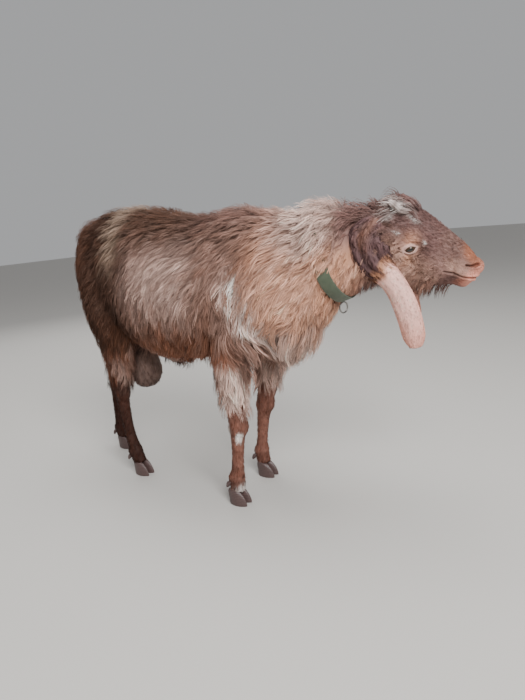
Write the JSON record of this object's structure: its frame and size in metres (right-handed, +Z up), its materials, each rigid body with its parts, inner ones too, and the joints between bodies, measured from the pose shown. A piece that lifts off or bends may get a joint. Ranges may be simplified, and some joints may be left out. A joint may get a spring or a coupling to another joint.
{
  "type": "nubian goat, still life-size model",
  "caption": "Standing shaggy buck goat of nubian type with long hanging ears and a webbing collar, whole animal at life size.",
  "frame": {"origin": "middle of the goat's box, on the floor that it stands on", "axes": "+X towards the goat's head, +Y towards its left side, +Z up"},
  "size_m": [1.3048, 0.4048, 0.8599],
  "materials": {
    "coat": "medium-long wavy hair, red-brown roan",
    "skin": "short smooth hair over thin skin",
    "eye": "moist, glossy",
    "horn": "rough pale horn",
    "claw": "worn dark horn",
    "webbing": "woven, dusty green",
    "ring_metal": "dull, stained"
  },
  "bodies": {
    "root": {"torso": "coat", "neck": "coat", "head": "coat", "tail": "coat", "leg_front_left": "coat", "leg_front_right": "coat", "leg_rear_left": "coat", "leg_rear_right": "coat", "ear_left": "skin", "ear_right": "skin", "scrotum": "skin", "eye_left": "eye", "eye_right": "eye", "scur_left": "horn", "scur_right": "horn", "claw_front_left_inner": "claw", "claw_front_left_outer": "claw", "claw_front_right_inner": "claw", "claw_front_right_outer": "claw", "claw_rear_left_inner": "claw", "claw_rear_left_outer": "claw", "claw_rear_right_inner": "claw", "claw_rear_right_outer": "claw", "collar": "webbing", "collar_ring": "ring_metal"}
  },
  "joints": []
}
